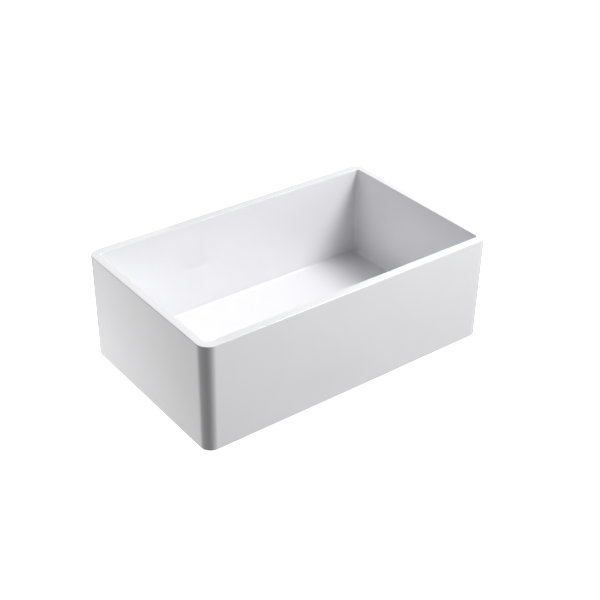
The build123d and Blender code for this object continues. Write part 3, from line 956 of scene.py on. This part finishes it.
def basket():
    """Outer side of a pressed cup with rings of holes, from the bush out over the foot's round and up."""
    shell = Shell()

    def row(radius, z):
        return shell.loop(circle(radius, z, BASKET_SEGMENTS))

    def on_to(previous, radius, z):
        """A new row, joined to the one before it."""
        following = row(radius, z)
        shell.join(previous, following)
        return following

    previous = on_to(row(BUSH_HOLE, BASKET_BOTTOM_Z), FLOOR_BAND_EDGES[0], BASKET_BOTTOM_Z)
    for low, high, (radius, count) in zip(FLOOR_BAND_EDGES, FLOOR_BAND_EDGES[1:], FLOOR_RINGS):
        following = row(high, BASKET_BOTTOM_Z)
        ends = (low, BASKET_BOTTOM_Z), (high, BASKET_BOTTOM_Z)
        shift = -(BASKET_SEGMENTS // count) // 2
        band(shell, previous, following, *ends, count, shift, (radius, BASKET_BOTTOM_Z))
        previous = following

    # the ends of this section are not used: they give the foot's round its directions
    foot = rounded(
        [
            (24.0, BASKET_BOTTOM_Z),
            (BASKET_FLOOR_EDGE, BASKET_BOTTOM_Z, BASKET_FOOT_ROUND),
            (wall_radius(13.0), 13.0),
        ],
        steps=8,
        closed=False,
    )
    for spot in foot[1:-1]:
        if spot.y < FOOT_ROUND_END_Z:
            previous = on_to(previous, spot.x, spot.y)
    previous = on_to(previous, wall_radius(WALL_BAND_EDGES_Z[0]), WALL_BAND_EDGES_Z[0])

    half_cell = BASKET_SEGMENTS // HOLES_PER_ROW // 2
    bands = zip(WALL_BAND_EDGES_Z, WALL_BAND_EDGES_Z[1:], HOLE_ROWS_Z)
    for index, (low, high, middle) in enumerate(bands):
        following = row(wall_radius(high), high)
        ends = (wall_radius(low), low), (wall_radius(high), high)
        shift = 0 if index % 2 else -half_cell
        band(shell, previous, following, *ends, HOLES_PER_ROW, shift, (wall_radius(middle), middle))
        previous = following
    for z in PLAIN_ROWS_Z:
        previous = on_to(previous, wall_radius(z), z)

    made = piece("basket_sheet", shell, "basket", "strainer_steel", "basket_cup", sharp_deg=50.0)
    thick = made.modifiers.new("sheet", "SOLIDIFY")
    thick.thickness = SHEET * MM
    thick.offset = -1.0
    thick.use_even_offset = True
    even_shading(made)


def basket_rim():
    turned(
        "basket_rim", "basket_cup", "strainer_steel",
        [
            (BASKET_TOP, BASKET_RIM_FOOT_Z, 0.2),
            (BASKET_RIM, BASKET_RIM_FOOT_Z, 1.2),
            (BASKET_RIM, BASKET_RIM_TOP_Z, 1.3),
            (38.3, BASKET_RIM_TOP_Z, 1.4),
            (37.7, BASKET_RIM_FOOT_Z, 0.3),
        ],
        body="basket", count=180, steps=6,
    )


def bush():
    turned(
        "nylon_bush", "stem_bush", "natural_plastic",
        [
            (BUSH_BORE, BUSH_FOOT_Z, 0.2),
            (BUSH_FLANGE, BUSH_FOOT_Z, 0.4),
            (BUSH_FLANGE, BASKET_BOTTOM_Z, 0.1),
            (BUSH_HOLE, BASKET_BOTTOM_Z, 0.05),
            (BUSH_HOLE, BUSH_GROOVE_TOP_Z, 0.05),
            (BUSH_FLANGE, BUSH_GROOVE_TOP_Z, 0.1),
            (BUSH_FLANGE, BUSH_COLLAR_Z, 0.4),
            (BUSH_HOLE, BUSH_TOP_Z, 0.6),
            (BUSH_BORE, BUSH_TOP_Z, 0.2),
        ],
        body="basket", count=72,
    )


# ======== rings and tube under the bowl ========
def gasket_and_fibre_ring():
    turned("black_gasket", "rubber_gasket", "black_rubber", [
        (GASKET_RADIUS, GASKET_FOOT_Z, 0.5),
        (GASKET_RADIUS, GASKET_RECESS_Z, 0.5),
        (CLAMP_BORE, GASKET_RECESS_Z, 0.4),
        (CLAMP_BORE, GASKET_FOOT_Z, 0.4),
    ])
    turned("fibre_ring", "friction_ring", "fibre", [
        (FIBRE_RING_RADIUS, FIBRE_RING_FOOT_Z, 0.15),
        (FIBRE_RING_RADIUS, GASKET_FOOT_Z, 0.15),
        (CLAMP_BORE, GASKET_FOOT_Z, 0.15),
        (CLAMP_BORE, FIBRE_RING_FOOT_Z, 0.15),
    ])


def washer_and_tube():
    turned(
        "joint_washer", "tailpiece_washer", "natural_plastic",
        [
            (TUBE_FLANGE, TUBE_TOP_Z, 0.4),
            (TUBE_FLANGE, COLLAR_FOOT_Z, 0.4),
            (COLLAR_BORE, COLLAR_FOOT_Z, 0.3),
            (COLLAR_BORE, TUBE_TOP_Z, 0.3),
        ],
        count=96,
    )
    turned("chrome_tube", "tailpiece", "chrome_plate", [
        (TUBE_BORE, TUBE_TOP_Z, 1.0),
        (TUBE_FLANGE, TUBE_TOP_Z, 0.4),
        (TUBE_FLANGE, TUBE_FLANGE_FOOT_Z, 0.4),
        (TUBE_NECK, TUBE_FLANGE_FOOT_Z, 0.5),
        (TUBE_NECK, TUBE_NECK_FOOT_Z, 0.25),
        (TUBE_RADIUS, TUBE_STEP_Z, 0.25),
        (TUBE_RADIUS, TUBE_FOOT_Z, 0.3),
        (TUBE_BORE, TUBE_FOOT_Z, 0.3),
    ])


# ======== stopper ========
def stem_and_knob():
    turned(
        "steel_stem", "stopper_stem", "strainer_steel",
        [
            (0, STEM_FOOT_Z),
            (STEM_END, STEM_FOOT_Z, 0.3),
            (STEM_END, PLATE_TOP_Z, 0.05),
            (STEM_SHOULDER, PLATE_TOP_Z, 0.2),
            (STEM_SHOULDER, STEM_SHOULDER_TOP_Z, 0.5),
            (STEM_RADIUS, STEM_SHOULDER_TOP_Z, 0.2),
            (STEM_RADIUS, KNOB_FOOT_Z, 0.1),
            (STEM_END, KNOB_FOOT_Z, 0.1),
            (STEM_END, STEM_TOP_Z, 0.2),
            (0, STEM_TOP_Z),
        ],
        body="stopper", count=48, steps=3, closed=False,
    )
    turned(
        "steel_knob", "pull_knob", "strainer_steel",
        [
            (STEM_END, KNOB_FOOT_Z),
            (4.8, KNOB_FOOT_Z, 0.4),
            (4.0, 17.45, 3.0),
            (KNOB_RADIUS, 18.62, 0.9),
            (KNOB_RADIUS, 20.15, 1.0),
            (KNOB_RADIUS / 2, KNOB_TOP_Z, 6.0),
            (0, KNOB_TOP_Z),
        ],
        body="stopper", steps=8, closed=False,
    )


def plate_and_rubber():
    turned(
        "steel_plate", "stopper_washer", "strainer_steel",
        [
            (PLATE_RADIUS, STOPPER_TOP_Z, 0.3),
            (PLATE_RADIUS, PLATE_TOP_Z, 0.4),
            (STEM_END, PLATE_TOP_Z, 0.1),
            (STEM_END, STOPPER_TOP_Z, 0.1),
        ],
        body="stopper", count=96,
    )
    turned(
        "rubber_stopper", "stopper_seal", "black_rubber",
        [
            (STEM_END, STOPPER_FOOT_Z, 0.1),
            (PLATE_RADIUS, STOPPER_FOOT_Z, 3.0),
            (21.0, STOPPER_SKIRT_Z, 0.5),
            (STOPPER_RADIUS, STOPPER_SKIRT_Z, 0.6),
            (18.5, STOPPER_TOP_Z, 1.5),
            (STEM_END, STOPPER_TOP_Z, 0.1),
        ],
        body="stopper", steps=6,
    )


def hex_nut():
    """Six flats whose corners are turned down towards both faces."""
    count = 96
    sixth = math.pi / 3
    across = HEX_NUT_RADIUS * math.cos(sixth / 2)
    top = STOPPER_FOOT_Z
    foot = HEX_NUT_FOOT_Z
    # depth below a face, and the largest radius there
    chamfer = ((0.0, 3.55), (0.06, 3.72), (0.22, 4.0), (0.4, HEX_NUT_RADIUS))
    shell = Shell()

    def hexagon(limit, z):
        ring = []
        for i in range(count):
            angle = math.tau * i / count
            bend = (angle + sixth / 2) % sixth - sixth / 2
            ring.append(at(min(across / math.cos(bend), HEX_NUT_CORNER, limit), angle, z))
        return shell.loop(ring)

    loops = [hexagon(limit, top - depth) for depth, limit in chamfer]
    loops += [hexagon(limit, foot + depth) for depth, limit in reversed(chamfer)]
    for radius, z in (
        (HEX_NUT_BORE_MOUTH, foot),
        (HEX_NUT_BORE, foot + HEX_NUT_BORE_CHAMFER),
        (HEX_NUT_BORE, top - HEX_NUT_BORE_CHAMFER),
        (HEX_NUT_BORE_MOUTH, top),
    ):
        loops.append(shell.loop(circle(radius, z, count)))
    shell.skin(loops, closed=True)
    even_shading(piece("hex_nut", shell, "stopper", "bare_brass", "stopper_nut", sharp_deg=30.0))


def snap_clip():
    """The clip keeps its own shape, and only takes a better material."""
    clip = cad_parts["snap_clip"]
    clip.data.materials.clear()
    clip.data.materials.append(FINISHES["natural_plastic"])


bowl()
strainer()
collar()
putty_bead()
gasket_and_fibre_ring()
clamp_nut()
hand_nut()
washer_and_tube()
basket()
basket_rim()
bush()
stem_and_knob()
plate_and_rubber()
hex_nut()
snap_clip()


# ======== stage, light and camera ========
FLOOR_Z = -0.172
FLOOR_HALF = 6.0
LIGHTS_AIM = Vector((0, 0, 0.12))

# soft glows of the room round the bowl: azimuth, elevation, strength
GLOWS = (
    (-45, -15, 2.00),
    (-45, 15, 0.66),
    (0, 45, 1.52),
    (180, -45, 0.58),
    (180, 45, 0.44),
    (90, -45, 1.11),
)
GLOW_TIGHTNESS = 8.0

LENS = 72.005
SENSOR_WIDTH = 36.0
CAMERA_SPOT = Vector((-1.374427, -1.822315, 1.540619))
CAMERA_AIM = Vector((0.012709, -0.018959, 0.116743))
CAMERA_TILT_DEG = 0.960


def stage():
    """A pale floor that the camera sees, and that neither shades nor lights the sink."""
    half = FLOOR_HALF
    corners = [(-half, -half, FLOOR_Z), (half, -half, FLOOR_Z), (half, half, FLOOR_Z), (-half, half, FLOOR_Z)]
    mesh = bpy.data.meshes.new("floor")
    mesh.from_pydata(corners, [], [(0, 1, 2, 3)])
    pale = Nodes("pale_floor").set(
        Base_Color=(0.9, 0.9, 0.9),
        Roughness=0.9,
        Emission_Color=(1.0, 1.0, 1.0),
        Emission_Strength=1.0,
    )
    mesh.materials.append(pale)
    floor = bpy.data.objects.new("floor", mesh)
    bpy.context.scene.collection.objects.link(floor)
    floor.visible_diffuse = False
    floor.visible_glossy = False
    floor.visible_shadow = False


def direction(azimuth_deg, elevation_deg):
    """Azimuth 0 is +X and 90 is +Y."""
    azimuth, elevation = math.radians(azimuth_deg), math.radians(elevation_deg)
    flat = math.cos(elevation)
    return Vector((flat * math.cos(azimuth), flat * math.sin(azimuth), math.sin(elevation)))


def soft_light(name, azimuth_deg, elevation_deg, distance, size, power):
    """A square panel that faces the bowl."""
    data = bpy.data.lights.new(name, "AREA")
    data.shape = "SQUARE"
    data.size = size
    data.energy = power
    lamp = bpy.data.objects.new(name, data)
    bpy.context.scene.collection.objects.link(lamp)
    way = direction(azimuth_deg, elevation_deg)
    lamp.location = LIGHTS_AIM + way * distance
    lamp.rotation_mode = "QUATERNION"
    lamp.rotation_quaternion = way.to_track_quat("Z", "Y")


def studio():
    """A white surround, lit by soft glows all round and by four panels, the key at the front right."""
    world = bpy.data.worlds.new("studio")
    bpy.context.scene.world = world
    world.use_nodes = True
    tree = world.node_tree
    tree.nodes.clear()

    # the glows light the sink, and the camera sees plain white behind it
    way = tree.nodes.new("ShaderNodeTexCoord").outputs["Generated"]
    total = 0.0
    for azimuth_deg, elevation_deg, strength in GLOWS:
        facing = tree.nodes.new("ShaderNodeVectorMath")
        facing.operation = "DOT_PRODUCT"
        tree.links.new(way, facing.inputs[0])
        facing.inputs[1].default_value = direction(azimuth_deg, elevation_deg)
        near = math_node(tree, "MAXIMUM", facing.outputs["Value"], 0.0)
        glow = math_node(tree, "MULTIPLY", math_node(tree, "POWER", near, GLOW_TIGHTNESS), strength)
        total = math_node(tree, "ADD", glow, total)
    room = tree.nodes.new("ShaderNodeBackground")
    tree.links.new(total, room.inputs["Strength"])
    seen = tree.nodes.new("ShaderNodeBackground")
    for node in (room, seen):
        node.inputs["Color"].default_value = (1.0, 1.0, 1.0, 1.0)
    path = tree.nodes.new("ShaderNodeLightPath")
    mix = tree.nodes.new("ShaderNodeMixShader")
    out = tree.nodes.new("ShaderNodeOutputWorld")
    tree.links.new(path.outputs["Is Camera Ray"], mix.inputs[0])
    tree.links.new(room.outputs[0], mix.inputs[1])
    tree.links.new(seen.outputs[0], mix.inputs[2])
    tree.links.new(mix.outputs[0], out.inputs["Surface"])

    soft_light("key", azimuth_deg=-40, elevation_deg=50, distance=2.4, size=0.9, power=46.4)
    soft_light("back_left", azimuth_deg=150, elevation_deg=20, distance=1.6, size=0.9, power=2.2)
    soft_light("back", azimuth_deg=90, elevation_deg=40, distance=2.4, size=1.8, power=10.2)
    soft_light("low_left", azimuth_deg=150, elevation_deg=-20, distance=1.0, size=0.8, power=2.45)
    bpy.context.scene.view_settings.view_transform = "Standard"


def camera():
    data = bpy.data.cameras.new("camera")
    data.lens = LENS
    data.sensor_width = SENSOR_WIDTH
    view = bpy.data.objects.new("camera", data)
    bpy.context.scene.collection.objects.link(view)
    tilt = Quaternion((0, 0, 1), math.radians(CAMERA_TILT_DEG))
    view.location = CAMERA_SPOT
    view.rotation_mode = "QUATERNION"
    view.rotation_quaternion = (CAMERA_AIM - CAMERA_SPOT).to_track_quat("-Z", "Y") @ tilt
    bpy.context.scene.camera = view


stage()
studio()
camera()
